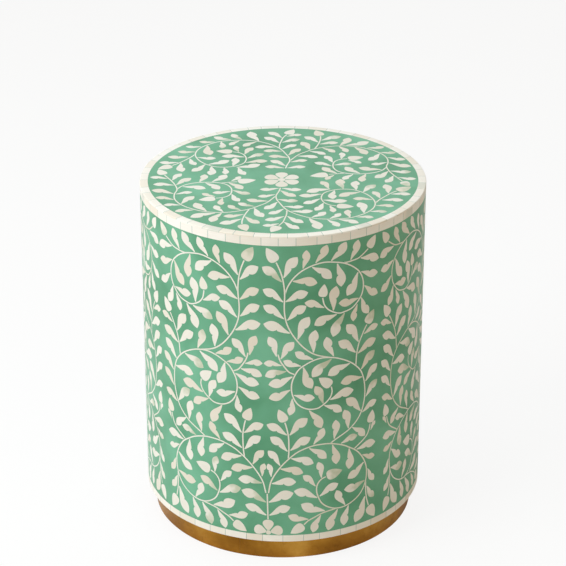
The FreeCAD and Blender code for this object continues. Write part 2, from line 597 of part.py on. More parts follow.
def flat_wire(outline, height):
    edges = []
    for poles in outline:
        spots = [vector(x, y, height) for x, y in poles]
        if len(spots) == 2:
            edges.append(Part.makeLine(spots[0], spots[1]))
        else:
            curve = Part.BezierCurve()
            curve.setPoles(spots)
            edges.append(curve.toShape())
    return Part.Wire(edges)


def flat_piece(outline):
    return Part.Face(flat_wire(outline, panel_head)).extrude(upright * inlay_thickness)


# bone tiles round a profile, with the thin joints between them
def tile_round(profile, count, offset_share):
    step = full_turn / count
    joint = math.degrees(tile_joint / outer_radius)
    cuts = [step * (i + offset_share + tile_wander_share * math.sin(tile_wander_turn * i)) for i in range(count)]
    tiles, joints = [], []
    for start, end in zip(cuts, cuts[1:] + [cuts[0] + full_turn]):
        tiles.append(swept(profile, start + joint / 2, end - start - joint))
        joints.append(swept(profile, start - joint / 2, joint))
    return tiles, joints


# the flat rim's section, its outer top edge eased
def ring_profile():
    eased = outer_radius - rim_round, table_height - rim_round
    bend = math.radians(half_turn / 4)
    low, high = vector(outer_radius, 0, eased[1]), vector(eased[0], 0, table_height)
    middle = vector(eased[0] + rim_round * math.cos(bend), 0, eased[1] + rim_round * math.sin(bend))
    corners = [high, vector(ring_radius, 0, table_height), vector(ring_radius, 0, panel_head),
               vector(outer_radius, 0, panel_head), low]
    edges = [Part.makeLine(a, b) for a, b in zip(corners, corners[1:])]
    return Part.Wire(edges + [Part.Arc(low, middle, high).toShape()])


def build_inlay():
    pattern = side_pattern()
    front, side = side_unit(pattern, front_half), side_unit(pattern, side_half)
    # the front of the drum faces -Y, and a unit is drawn about -X
    front_spin = front_axis_degrees + half_turn / 2
    side_step = math.degrees(2 * side_half)
    first = front_spin + math.degrees(front_half + side_half)
    flowers = []
    places = (("front", front, front_spin), ("right", side, first), ("back", side, first + side_step),
              ("left", side, first + 2 * side_step))
    for name, unit, spin in places:
        export("side_resin_" + name, turned(unit["resin"], spin)[0])
        export("side_leaves_" + name, group(turned(unit["leaf"], spin)))
        export("side_vines_" + name, group(turned(unit["vine"], spin)))
        flowers += turned(unit["flower"], spin)
    export("side_flowers", group(flowers))
    print("side leaves in a unit", len(front["leaf"]), "vines", len(front["vine"]))

    flower, vines, leaves = top_pattern()
    border = Part.Wire(Part.makeCircle(ring_radius, vector(0, 0, panel_head)))
    wires = [border] + [flat_wire(o, panel_head) for o in flower + vines + leaves]
    ground = Part.makeFace(wires, "Part::FaceMakerBullseye").extrude(upright * inlay_thickness)
    export("top_resin", ground.Solids[0] if ground.Solids else ground)
    export("top_leaves", group([flat_piece(o) for o in leaves]))
    export("top_vines", group([flat_piece(o) for o in vines]))
    export("top_flower", group([flat_piece(o) for o in flower]))
    print("top leaves", len(leaves), "vines", len(vines))

    edge = box_profile(core_radius, outer_radius, field_head, panel_head)
    foot = box_profile(core_radius, outer_radius, plinth_height, field_foot)
    bands = (("rim_ring", ring_profile(), ring_tile_count, 0.3), ("rim_edge", edge, rim_tile_count, 0.0),
             ("foot_band", foot, foot_tile_count, 0.5))
    for name, profile, count, offset_share in bands:
        tiles, joints = tile_round(profile, count, offset_share)
        export(name + "_tiles", group(tiles))
        export(name + "_joints", group(joints))


def build_drum():
    upper, lower = field_head - hoop_thickness, field_foot + hoop_thickness
    middle = (upper + lower - hoop_thickness) / 2
    stud_step = full_turn / stud_count
    half_step = stud_step / 2
    stud_screws_top = screw_circle(stud_count, 0, stud_middle_radius, field_head, hoop_thickness + stud_bite, False)
    stud_screws_foot = screw_circle(stud_count, 0, stud_middle_radius, field_foot, hoop_thickness + stud_bite, True)
    panel_screws = screw_circle(stud_count, half_step, hoop_middle_radius, upper, hoop_thickness + panel_bite, True)
    floor_screws = screw_circle(stud_count, half_step, hoop_middle_radius, plinth_height,
                                foot_band_height + hoop_bite, True)
    plinth_screws = screw_circle(stud_count, half_step / 2, plinth_middle_radius, pad_thickness,
                                 2 * plinth_ring_height + panel_bite, True)
    blank = Part.makeBox(stud_depth, stud_width, upper - lower,
                         vector(shell_radius - stud_depth, -stud_width / 2, lower))
    blank = blank.common(disc(shell_radius, lower, upper))
    notch = Part.makeBox(stud_depth + cut_overrun, stud_width, hoop_thickness,
                         vector(shell_radius - stud_depth, -stud_width / 2, middle))
    notches = []
    for i in range(stud_count):
        degrees = i * stud_step
        stud = turned([blank], degrees - half_turn / 2)[0]
        export("stud_%d" % (i + 1), stud.cut([stud_screws_top[i], stud_screws_foot[i]]))
        notches += turned([notch], degrees - half_turn / 2)
    hoop_inner = shell_radius - hoop_width
    export("hoop_upper", ring(hoop_inner, shell_radius, upper, field_head).cut(stud_screws_top + panel_screws))
    export("hoop_middle", ring(hoop_inner, shell_radius, middle, middle + hoop_thickness).cut(notches))
    export("hoop_lower", ring(hoop_inner, shell_radius, field_foot, lower).cut(stud_screws_foot + floor_screws))
    wall = box_profile(shell_radius, core_radius, field_foot, field_head)
    export("shell_front", swept(wall, half_turn, half_turn))
    export("shell_rear", swept(wall, 0, half_turn))
    export("top_panel", disc(core_radius, field_head, panel_head).cut(panel_screws))
    export("bottom_panel", disc(core_radius, plinth_height, field_foot).cut(floor_screws + plinth_screws))
    groups = (("stud_top_screws", stud_screws_top), ("stud_bottom_screws", stud_screws_foot),
              ("top_panel_screws", panel_screws), ("bottom_panel_screws", floor_screws),
              ("plinth_screws", plinth_screws))
    for name, solids in groups:
        export(name, group(solids))

    split = pad_thickness + plinth_ring_height
    for name, foot, head in (("lower", pad_thickness, split), ("upper", split, plinth_height)):
        body = ring(plinth_ring_radius, plinth_core_radius, foot, head)
        export("plinth_ring_" + name, body.cut(plinth_screws))
    strip = box_profile(plinth_core_radius, plinth_radius, brass_floor_gap, plinth_height)
    ends = brass_seam_degrees[1:] + (brass_seam_degrees[0] + full_turn,)
    for name, start, end in zip(("right", "back", "left"), brass_seam_degrees, ends):
        export("plinth_brass_" + name, swept(strip, start - half_turn / 2, end - start))
    step = full_turn / stud_count
    pads = [Part.makeCylinder(pad_diameter / 2, pad_thickness,
                              round_about(plinth_middle_radius, i * step - half_step / 2, 0))
            for i in range(stud_count)]
    export("felt_pads", group(pads))


build_inlay()
build_drum()
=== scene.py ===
import math
import bpy
import numpy as np
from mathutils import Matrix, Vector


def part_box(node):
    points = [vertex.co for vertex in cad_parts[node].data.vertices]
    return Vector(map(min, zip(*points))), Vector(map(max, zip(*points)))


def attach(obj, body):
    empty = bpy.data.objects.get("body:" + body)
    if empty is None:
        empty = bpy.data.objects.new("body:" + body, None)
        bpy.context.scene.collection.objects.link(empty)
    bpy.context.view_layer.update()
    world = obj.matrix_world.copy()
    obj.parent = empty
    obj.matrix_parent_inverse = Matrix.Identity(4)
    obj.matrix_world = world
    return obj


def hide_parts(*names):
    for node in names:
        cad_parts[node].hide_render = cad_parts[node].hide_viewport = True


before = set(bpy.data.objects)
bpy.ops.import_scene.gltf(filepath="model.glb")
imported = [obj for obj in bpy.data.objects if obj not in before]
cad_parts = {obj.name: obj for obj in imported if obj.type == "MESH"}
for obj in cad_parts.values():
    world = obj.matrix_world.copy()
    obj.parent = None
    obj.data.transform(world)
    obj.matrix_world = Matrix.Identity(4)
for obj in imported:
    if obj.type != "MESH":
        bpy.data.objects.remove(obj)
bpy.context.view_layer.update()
print("frame loaded with", len(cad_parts), "nodes")

# sizes of the drum in metres, read from the solids
topLow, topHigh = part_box("top_resin")
footLow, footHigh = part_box("foot_band_tiles")
table = {
    "core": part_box("bottom_panel")[1][0],             # radius of the drum under the inlay
    "inlay": topHigh[2] - topLow[2],                  # thickness of bone and resin
    "height": topHigh[2],
    "ringRadius": topHigh[0],                         # inner edge of the flat rim
    "panelHead": topLow[2],                           # underside of the top inlay
    "fieldHead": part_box("rim_edge_tiles")[0][2],      # top of the green side
    "fieldFoot": footHigh[2],                         # foot of the green side
    "plinthHead": footLow[2],
}
table["radius"] = table["core"] + table["inlay"]


# mesh helpers

def newPiece(name, co, faces, node):
    # faces is a list of index arrays, one array per corner count
    mesh = bpy.data.meshes.new(name)
    flat = [row for block in faces for row in block.tolist()]
    mesh.from_pydata(co.tolist(), [], flat)
    mesh.update()
    piece = bpy.data.objects.new(name, mesh)
    bpy.context.scene.collection.objects.link(piece)
    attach(piece, "root")
    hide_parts(node)
    return piece


def quads(a, b, c, d):
    # four grids of corner numbers as rows of four
    return np.stack([a, b, c, d], axis=-1).reshape(-1, 4)


def pointValue(mesh, name, values):
    layer = mesh.attributes.new(name, "FLOAT", "POINT")
    layer.data.foreach_set("value", np.ascontiguousarray(values, np.float32))


def cornerMap(mesh, name, uvPerVertex):
    # the same map value at every corner of a vertex
    index = np.zeros(len(mesh.loops), np.int32)
    mesh.loops.foreach_get("vertex_index", index)
    layer = mesh.uv_layers.new(name=name)
    layer.data.foreach_set("uv", np.ascontiguousarray(uvPerVertex[index], np.float32).ravel())


def roundOff(mesh, sharpDegrees):
    # smooth shading, broken where faces turn by more than the angle
    mesh.polygons.foreach_set("use_smooth", np.ones(len(mesh.polygons), bool))
    mesh.set_sharp_from_angle(angle=math.radians(sharpDegrees))


def nodeTriangles(nodeName):
    # a node's loose triangles, merged where corners meet
    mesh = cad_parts[nodeName].data
    co = np.zeros(len(mesh.vertices) * 3, np.float32)
    mesh.vertices.foreach_get("co", co)
    co = co.reshape(-1, 3).astype(np.float64)
    mesh.calc_loop_triangles()
    tri = np.zeros(len(mesh.loop_triangles) * 3, np.int32)
    mesh.loop_triangles.foreach_get("vertices", tri)
    keys = np.round(co * 1e6).astype(np.int64)            # to the micrometre
    unused, first, back = np.unique(keys, axis=0, return_index=True, return_inverse=True)
    tri = back.ravel()[tri].reshape(-1, 3)
    whole = (tri[:, 0] != tri[:, 1]) & (tri[:, 1] != tri[:, 2]) & (tri[:, 2] != tri[:, 0])
    return co[first], tri[whole]


def islandLabels(count, tri):
    # each vertex takes the lowest number it can reach over the triangles
    label = np.arange(count)
    while True:
        low = label[tri].min(axis=1)
        fresh = label.copy()
        for corner in range(3):
            np.minimum.at(fresh, tri[:, corner], low)
        fresh = fresh[fresh]
        if np.array_equal(fresh, label):
            break
        label = fresh
    return np.unique(label, return_inverse=True)[1]


def islandCentres(co, label):
    count = np.bincount(label)
    return np.stack([np.bincount(label, co[:, k]) / count for k in range(co.shape[1])], axis=1)


def placeNoise(centre, seed):
    # a steady number from 0 to 1 for a place, whatever the order of the pieces
    wave = np.sin(centre[:, 0] * 12917.1 + centre[:, 1] * 7823.7 + centre[:, 2] * 3771.9 + seed * 78.233)
    return np.abs(wave * 43758.5453) % 1.0


# shader helpers

def link(tree, a, b):
    tree.links.new(a, b)


def feed(tree, socket, value):
    # a socket takes another node's output or a plain value
    if hasattr(value, "links"):
        link(tree, value, socket)
    else:
        socket.default_value = value


def addNode(tree, kind, **values):
    node = tree.nodes.new(kind)
    for key, value in values.items():
        if hasattr(node, key):
            setattr(node, key, value)
        else:
            node.inputs[key.replace("_", " ")].default_value = value
    return node


def newGroup(name, inputs, outputs):
    group = bpy.data.node_groups.new(name, "ShaderNodeTree")
    for socketName, kind, value in inputs:
        socket = group.interface.new_socket(socketName, in_out="INPUT", socket_type="NodeSocket" + kind)
        socket.default_value = value
    for socketName, kind in outputs:
        group.interface.new_socket(socketName, in_out="OUTPUT", socket_type="NodeSocket" + kind)
    return group, group.nodes.new("NodeGroupInput"), group.nodes.new("NodeGroupOutput")


def ramp(tree, fac, stops):
    node = tree.nodes.new("ShaderNodeValToRGB")
    node.color_ramp.elements[0].position, node.color_ramp.elements[0].color = stops[0]
    node.color_ramp.elements[1].position, node.color_ramp.elements[1].color = stops[-1]
    for position, colour in stops[1:-1]:
        node.color_ramp.elements.new(position).color = colour
    link(tree, fac, node.inputs["Fac"])
    return node


def maskRamp(tree, fac, low, high):
    # black up to low, white from high on
    return ramp(tree, fac, [(low, (0, 0, 0, 1)), (high, (1, 1, 1, 1))])


def mixColour(tree, fac, a, b):
    node = addNode(tree, "ShaderNodeMix", data_type="RGBA", blend_type="MIX")
    for index, value in ((0, fac), (6, a), (7, b)):
        feed(tree, node.inputs[index], value)
    return node.outputs[2]


def math2(tree, operation, a, b):
    node = addNode(tree, "ShaderNodeMath", operation=operation)
    feed(tree, node.inputs[0], a)
    feed(tree, node.inputs[1], b)
    return node.outputs[0]


def noise(tree, vector, **values):
    node = addNode(tree, "ShaderNodeTexNoise", **values)
    link(tree, vector, node.inputs["Vector"])
    return node.outputs["Fac"]


def objectPlace(tree):
    return tree.nodes.new("ShaderNodeTexCoord").outputs["Object"]


def srgb(r, g, b):
    # screen colour to linear light
    values = np.array([r, g, b]) / 255.0
    linear = np.where(values <= 0.04045, values / 12.92, ((values + 0.055) / 1.055) ** 2.4)
    return tuple(linear.tolist()) + (1.0,)


def newMaterial(name, **values):
    material = bpy.data.materials.new(name)
    material.use_nodes = True
    shader = material.node_tree.nodes["Principled BSDF"]
    for key, value in values.items():
        shader.inputs[key.replace("_", " ")].default_value = value
    return material, material.node_tree, shader


def dress(obj, material):
    obj.data.materials.clear()
    obj.data.materials.append(material)


# shared effects

polishEffect = {"coarseShare": 0.7, "fineShare": 0.3, "span": (0.32, 0.68)}


def handPolishGroup():
    # slow and fine noise together, for the uneven shine of hand-rubbed surfaces
    group, gin, gout = newGroup(
        "handPolish",
        [("Coarse", "Float", 30.0), ("Fine", "Float", 420.0), ("Low", "Float", 0.2), ("High", "Float", 0.4)],
        [("Shine", "Float"), ("Height", "Float")])
    where = objectPlace(group)
    coarse = addNode(group, "ShaderNodeTexNoise", Detail=3.0)
    fine = addNode(group, "ShaderNodeTexNoise", Detail=2.0)
    for node, socket in ((coarse, "Coarse"), (fine, "Fine")):
        link(group, where, node.inputs["Vector"])
        link(group, gin.outputs[socket], node.inputs["Scale"])
    both = math2(group, "ADD", math2(group, "MULTIPLY", coarse.outputs["Fac"], polishEffect["coarseShare"]),
                 math2(group, "MULTIPLY", fine.outputs["Fac"], polishEffect["fineShare"]))
    low, high = polishEffect["span"]
    spread = addNode(group, "ShaderNodeMapRange", From_Min=low, From_Max=high)
    link(group, both, spread.inputs["Value"])
    link(group, gin.outputs["Low"], spread.inputs["To Min"])
    link(group, gin.outputs["High"], spread.inputs["To Max"])
    link(group, spread.outputs["Result"], gout.inputs["Shine"])
    link(group, both, gout.inputs["Height"])
    return group


grainEffect = {
    "streakScale": (55.0, 620.0, 1.0),    # long along the piece, fine across it
    "streakSpan": (0.42, 0.72),
    "streakShare": 0.35,
    "cloudScale": 95.0,
    "pieceShift": 37.0,                   # so that no two pieces share a streak
    "endSlope": 34.0,                     # how fast a thin piece fades along its length
    "endSpan": (0.30, 0.98),
}


def boneGrainGroup():
    # cream bone: a tint for each piece, long soft streaks, and one end of a thin piece fading to grey green
    group, gin, gout = newGroup(
        "boneGrain",
        [("Pale", "Color", srgb(235, 230, 221)), ("Warm", "Color", srgb(225, 214, 195)),
         ("Cool", "Color", srgb(194, 199, 176))],
        [("Color", "Color"), ("Height", "Float")])
    grain = addNode(group, "ShaderNodeUVMap", uv_map="grain").outputs["UV"]
    tint = addNode(group, "ShaderNodeAttribute", attribute_name="tint").outputs["Fac"]
    thin = addNode(group, "ShaderNodeAttribute", attribute_name="thin").outputs["Fac"]
    shift = group.nodes.new("ShaderNodeCombineXYZ")
    link(group, math2(group, "MULTIPLY", tint, grainEffect["pieceShift"]), shift.inputs["Z"])
    spot = addNode(group, "ShaderNodeVectorMath", operation="ADD")
    link(group, grain, spot.inputs[0])
    link(group, shift.outputs["Vector"], spot.inputs[1])
    stretch = addNode(group, "ShaderNodeMapping", Scale=grainEffect["streakScale"])
    link(group, spot.outputs["Vector"], stretch.inputs["Vector"])
    streak = noise(group, stretch.outputs["Vector"], Scale=1.0, Detail=4.0, Roughness=0.6)
    cloud = noise(group, spot.outputs["Vector"], Scale=grainEffect["cloudScale"], Detail=1.0)
    base = mixColour(group, tint, gin.outputs["Pale"], gin.outputs["Warm"])
    streakMask = maskRamp(group, streak, *grainEffect["streakSpan"])
    streakShare = math2(group, "MULTIPLY", streakMask.outputs["Color"], grainEffect["streakShare"])
    warmed = mixColour(group, streakShare, base, gin.outputs["Warm"])
    along = group.nodes.new("ShaderNodeSeparateXYZ")
    link(group, grain, along.inputs[0])
    slope = math2(group, "MULTIPLY", along.outputs["X"], grainEffect["endSlope"])
    endMask = maskRamp(group, math2(group, "ADD", slope, cloud), *grainEffect["endSpan"])
    endMask.color_ramp.interpolation = "EASE"
    endShare = math2(group, "MULTIPLY", endMask.outputs["Color"], thin)
    link(group, mixColour(group, endShare, warmed, gin.outputs["Cool"]), gout.inputs["Color"])
    link(group, streak, gout.inputs["Height"])
    return group


cloudEffect = {
    "driftScale": 11.0,
    "driftSpan": (0.30, 0.70),
    "speckScale": 900.0,
    "speckSpan": (0.70, 0.80),
    "speckShare": 0.35,
}


def resinCloudGroup():
    # cast resin: slow drifts of lighter and deeper green, with a few pale specks
    group, gin, gout = newGroup(
        "resinCloud",
        [("Deep", "Color", srgb(86, 149, 114)), ("Light", "Color", srgb(114, 178, 146)),
         ("Speck", "Color", srgb(136, 190, 160))],
        [("Color", "Color")])
    where = objectPlace(group)
    drift = noise(group, where, Scale=cloudEffect["driftScale"], Detail=3.0, Roughness=0.5, Distortion=0.3)
    speck = noise(group, where, Scale=cloudEffect["speckScale"], Detail=1.0)
    driftShare = maskRamp(group, drift, *cloudEffect["driftSpan"]).outputs["Color"]
    speckMask = maskRamp(group, speck, *cloudEffect["speckSpan"])
    speckShare = math2(group, "MULTIPLY", speckMask.outputs["Color"], cloudEffect["speckShare"])
    base = mixColour(group, driftShare, gin.outputs["Deep"], gin.outputs["Light"])
    link(group, mixColour(group, speckShare, base, gin.outputs["Speck"]), gout.inputs["Color"])
    return group


effects = {"polish": handPolishGroup(), "bone": boneGrainGroup(), "resin": resinCloudGroup()}


def useEffect(tree, effect, **values):
    node = tree.nodes.new("ShaderNodeGroup")
    node.node_tree = effects[effect]
    for key, value in values.items():
        node.inputs[key].default_value = value
    return node


def polished(tree, shader, look):
    # uneven shine from the look's lowest to its highest roughness
    coarse, fine = look["polishScale"]
    low, high = look["shine"]
    polish = useEffect(tree, "polish", Coarse=coarse, Fine=fine, Low=low, High=high)
    link(tree, polish.outputs["Shine"], shader.inputs["Roughness"])
    return polish.outputs["Height"]


def bump(tree, height, shader, strength, depth):
    node = addNode(tree, "ShaderNodeBump", Strength=strength, Distance=depth)
    link(tree, height, node.inputs["Height"])
    link(tree, node.outputs["Normal"], shader.inputs["Normal"])


# finishes, their colours given as screen values

resinLook = {
    "deep": (86, 149, 114),
    "light": (114, 178, 146),
    "specular": 0.2,
    "polishScale": (18.0, 160.0),
    "shine": (0.30, 0.40),        # lowest and highest roughness
    "bump": (0.05, 0.0003),       # strength and depth
}


def polishedResin():
    material, tree, shader = newMaterial("polishedResin", IOR=1.5, Specular_IOR_Level=resinLook["specular"])
    cloud = useEffect(tree, "resin", Deep=srgb(*resinLook["deep"]), Light=srgb(*resinLook["light"]))
    link(tree, cloud.outputs["Color"], shader.inputs["Base Color"])
    bump(tree, polished(tree, shader, resinLook), shader, *resinLook["bump"])
    return material


jointLook = {
    "deep": (136, 166, 157),
    "light": (164, 189, 180),
    "specular": 0.4,
    "polishScale": (30.0, 420.0),
    "shine": (0.35, 0.50),
}


def jointResin():
    material, tree, shader = newMaterial("jointResin", IOR=1.5, Specular_IOR_Level=jointLook["specular"])
    cloud = useEffect(tree, "resin", Deep=srgb(*jointLook["deep"]), Light=srgb(*jointLook["light"]))
    link(tree, cloud.outputs["Color"], shader.inputs["Base Color"])
    polished(tree, shader, jointLook)
    return material


boneLook = {
    "polishedBone": {"Pale": (232, 228, 219), "Warm": (222, 214, 198), "Cool": (194, 199, 176)},
    "boneTile": {"Pale": (242, 238, 231), "Warm": (232, 223, 208), "Cool": (218, 217, 206)},
    "specular": 0.3,
    "polishScale": (40.0, 520.0),
    "shine": (0.28, 0.42),
    "bump": (0.10, 0.0002),
}


def polishedBone(name):
    material, tree, shader = newMaterial(name, IOR=1.5, Specular_IOR_Level=boneLook["specular"])
    grain = useEffect(tree, "bone", **{key: srgb(*colour) for key, colour in boneLook[name].items()})
    link(tree, grain.outputs["Color"], shader.inputs["Base Color"])
    polished(tree, shader, boneLook)
    bump(tree, grain.outputs["Height"], shader, *boneLook["bump"])
    return material


brassLook = {
    "tones": ((0.30, (132, 87, 29)), (0.52, (171, 121, 46)), (0.72, (208, 161, 76))),
    "fleck": (108, 70, 22),       # darker spots of age
    "fleckShare": 0.4,
    "fleckSpan": (0.56, 0.74),
    "fleckScale": 70.0,
    "patchScale": 9.0,
    "polishScale": (14.0, 240.0),
    "shine": (0.24, 0.46),
    "bump": (0.25, 0.002),
}


def agedBrass():
    material, tree, shader = newMaterial("agedBrass", Metallic=1.0)
    where = objectPlace(tree)
    patch = noise(tree, where, Scale=brassLook["patchScale"], Detail=6.0, Roughness=0.6)
    fleck = noise(tree, where, Scale=brassLook["fleckScale"], Detail=4.0, Roughness=0.65)
    tone = ramp(tree, patch, [(place, srgb(*colour)) for place, colour in brassLook["tones"]])
    fleckMask = maskRamp(tree, fleck, *brassLook["fleckSpan"])
    fleckShare = math2(tree, "MULTIPLY", fleckMask.outputs["Color"], brassLook["fleckShare"])
    colour = mixColour(tree, fleckShare, tone.outputs["Color"], srgb(*brassLook["fleck"]))
    link(tree, colour, shader.inputs["Base Color"])
    bump(tree, polished(tree, shader, brassLook), shader, *brassLook["bump"])
    return material


woodLook = {
    # pale and dark lines, then their scale along and across the piece
    "rawBoard": ((186, 156, 120), (158, 128, 94), 90.0, 90.0),
    "rawPlywood": ((206, 174, 128), (170, 134, 90), 6.0, 160.0),
    "sawnWood": ((214, 180, 128), (184, 144, 92), 5.0, 220.0),
}


def rawWood(name):
    # growth lines running up the piece
    pale, dark, alongScale, acrossScale = woodLook[name]
    material, tree, shader = newMaterial(name, Roughness=0.75)
    stretch = addNode(tree, "ShaderNodeMapping", Scale=(acrossScale, acrossScale, alongScale))
    link(tree, objectPlace(tree), stretch.inputs["Vector"])
    lines = noise(tree, stretch.outputs["Vector"], Scale=1.0, Detail=6.0, Roughness=0.6, Distortion=0.8)
    tone = ramp(tree, lines, [(0.32, srgb(*dark)), (0.68, srgb(*pale))])
    link(tree, tone.outputs["Color"], shader.inputs["Base Color"])
    bump(tree, lines, shader, 0.2, 0.0006)
    return material


steelLook = {
    "dull": (158, 158, 156),
    "bright": (190, 192, 194),
    "polishScale": (200.0, 1500.0),
    "shine": (0.3, 0.5),
}


def plainSteel():
    material, tree, shader = newMaterial("plainSteel", Metallic=1.0)
    height = polished(tree, shader, steelLook)
    tone = ramp(tree, height, [(0.35, srgb(*steelLook["dull"])), (0.65, srgb(*steelLook["bright"]))])
    link(tree, tone.outputs["Color"], shader.inputs["Base Color"])
    return material


feltLook = {"dark": (30, 30, 30), "pale": (64, 62, 60), "fibreScale": 1800.0}


def pressedFelt():
    material, tree, shader = newMaterial("pressedFelt", Roughness=0.95)
    fibre = noise(tree, objectPlace(tree), Scale=feltLook["fibreScale"], Detail=4.0)
    tone = ramp(tree, fibre, [(0.3, srgb(*feltLook["dark"])), (0.7, srgb(*feltLook["pale"]))])
    link(tree, tone.outputs["Color"], shader.inputs["Base Color"])
    bump(tree, fibre, shader, 0.4, 0.0005)
    return material


finishes = {
    "resin": polishedResin(),
    "bone": polishedBone("polishedBone"),
    "tile": polishedBone("boneTile"),
    "joint": jointResin(),
    "brass": agedBrass(),
    "board": rawWood("rawBoard"),
    "plywood": rawWood("rawPlywood"),
    "softwood": rawWood("sawnWood"),
    "steel": plainSteel(),
    "felt": pressedFelt(),
}
print("finishes made:", len(finishes))


# green ground and bone inlay, copied from the solids with a smooth skin

inlay = {
    "units": ("front", "right", "back", "left"),
    "thinShare": 0.10,        # share of leaves that fade to grey green
    "tintPower": 2.2,         # above one keeps most pieces pale
    "skinDepth": 0.0004,      # a face this near to the outer radius may be skin
    "skinFacing": 0.7,        # if it also faces outwards by this share
}


def smoothSkin(mesh, co, tri):
    # corners on the drum's skin point straight out, all others keep their face's own direction
    mesh.polygons.foreach_set("use_smooth", np.ones(len(mesh.polygons), bool))
    a, b, c = co[tri[:, 0]], co[tri[:, 1]], co[tri[:, 2]]
    flat = np.cross(b - a, c - a)
    flat /= np.maximum(np.linalg.norm(flat, axis=1, keepdims=True), 1e-12)
    radius = np.hypot(co[:, 0], co[:, 1])
    out = np.stack([co[:, 0] / radius, co[:, 1] / radius, np.zeros(len(co))], axis=1)
    middle = (out[tri[:, 0]] + out[tri[:, 1]] + out[tri[:, 2]]) / 3
    near = np.abs(radius[tri] - table["radius"]).max(axis=1) < inlay["skinDepth"]
    onSkin = near & ((middle * flat).sum(axis=1) > inlay["skinFacing"])
    normals = np.repeat(flat[:, None, :], 3, axis=1)
    normals[onSkin] = out[tri[onSkin]]
    mesh.normals_split_custom_set(normals.reshape(-1, 3).tolist())


def grainCoordinates(co, label):
    # along and across the long axis of each piece, from the spread of its corners on the unrolled surface
    angle = np.arctan2(co[:, 0], -co[:, 1])
    onTop = co[:, 2] > table["panelHead"] - 1e-4
    flat = np.where(onTop[:, None], co[:, :2], np.stack([angle * table["radius"], co[:, 2]], axis=1))
    off = flat - islandCentres(flat, label)[label]
    xx, yy, xy = (np.bincount(label, v) for v in (off[:, 0] ** 2, off[:, 1] ** 2, off[:, 0] * off[:, 1]))
    turn = 0.5 * np.arctan2(2 * xy, xx - yy)[label]
    along = off[:, 0] * np.cos(turn) + off[:, 1] * np.sin(turn)
    across = off[:, 1] * np.cos(turn) - off[:, 0] * np.sin(turn)
    return np.stack([along, across], axis=1)


def boneCopy(nodeName, pieceName, thinShare=0.0):
    co, tri = nodeTriangles(nodeName)
    piece = newPiece(pieceName, co, [tri], nodeName)
    label = islandLabels(len(co), tri)
    centre = islandCentres(co, label)
    pointValue(piece.data, "tint", (placeNoise(centre, 1) ** inlay["tintPower"])[label])
    pointValue(piece.data, "thin", (placeNoise(centre, 2) < thinShare).astype(float)[label])
    cornerMap(piece.data, "grain", grainCoordinates(co, label))
    smoothSkin(piece.data, co, tri)
    dress(piece, finishes["bone"])


def resinCopy(nodeName, pieceName):
    co, tri = nodeTriangles(nodeName)
    piece = newPiece(pieceName, co, [tri], nodeName)
    smoothSkin(piece.data, co, tri)
    dress(piece, finishes["resin"])


for unit in inlay["units"]:
    resinCopy("side_resin_" + unit, "greenSide" + unit.title())
    boneCopy("side_leaves_" + unit, "boneLeaves" + unit.title(), inlay["thinShare"])
    boneCopy("side_vines_" + unit, "boneVines" + unit.title())
boneCopy("side_flowers", "boneFootFlowers")
boneCopy("top_leaves", "boneLeavesTop", inlay["thinShare"])
boneCopy("top_vines", "boneVinesTop")
boneCopy("top_flower", "boneFlowerTop")
dress(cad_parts["top_resin"], finishes["resin"])
print("inlay laid")


# rows of bone tiles

tiles = {
    "joint": 0.0006,          # width of the resin joint
    "ease": 0.00022,          # eased edge at each tile's end
    "recess": 0.00018,        # joint sits this far below the bone
    "wander": 0.09,           # how unevenly the tiles are cut, in shares of a tile
    "wanderTurn": 2.4,
    "arcSteps": 6,
    "jointSteps": 360,
    "thinShare": 0.06,        # share of tiles that fade to grey green
    "rimRound": 0.0012,       # round outer edge of the flat rim
    "roundSteps": 6,
    "rimEase": 0.00015,       # cut corners of the rim's edge
    "footEase": 0.00025,      # cut corners of the lower band
    "sharp": 28.0,            # degrees
}


def tileCuts(count, offset):
    # the joints stand evenly, each moved a little by a slow wave
    index = np.arange(count)
    step = 2 * math.pi / count
    return step * (index + offset + tiles["wander"] * np.sin(tiles["wanderTurn"] * index))


def drawnIn(profile, depth):
    # the profile shrunk towards its middle by the depth on each side
    heart = profile.mean(axis=0)
    return heart + (profile - heart) * (1 - 2 * depth / np.ptp(profile, axis=0))


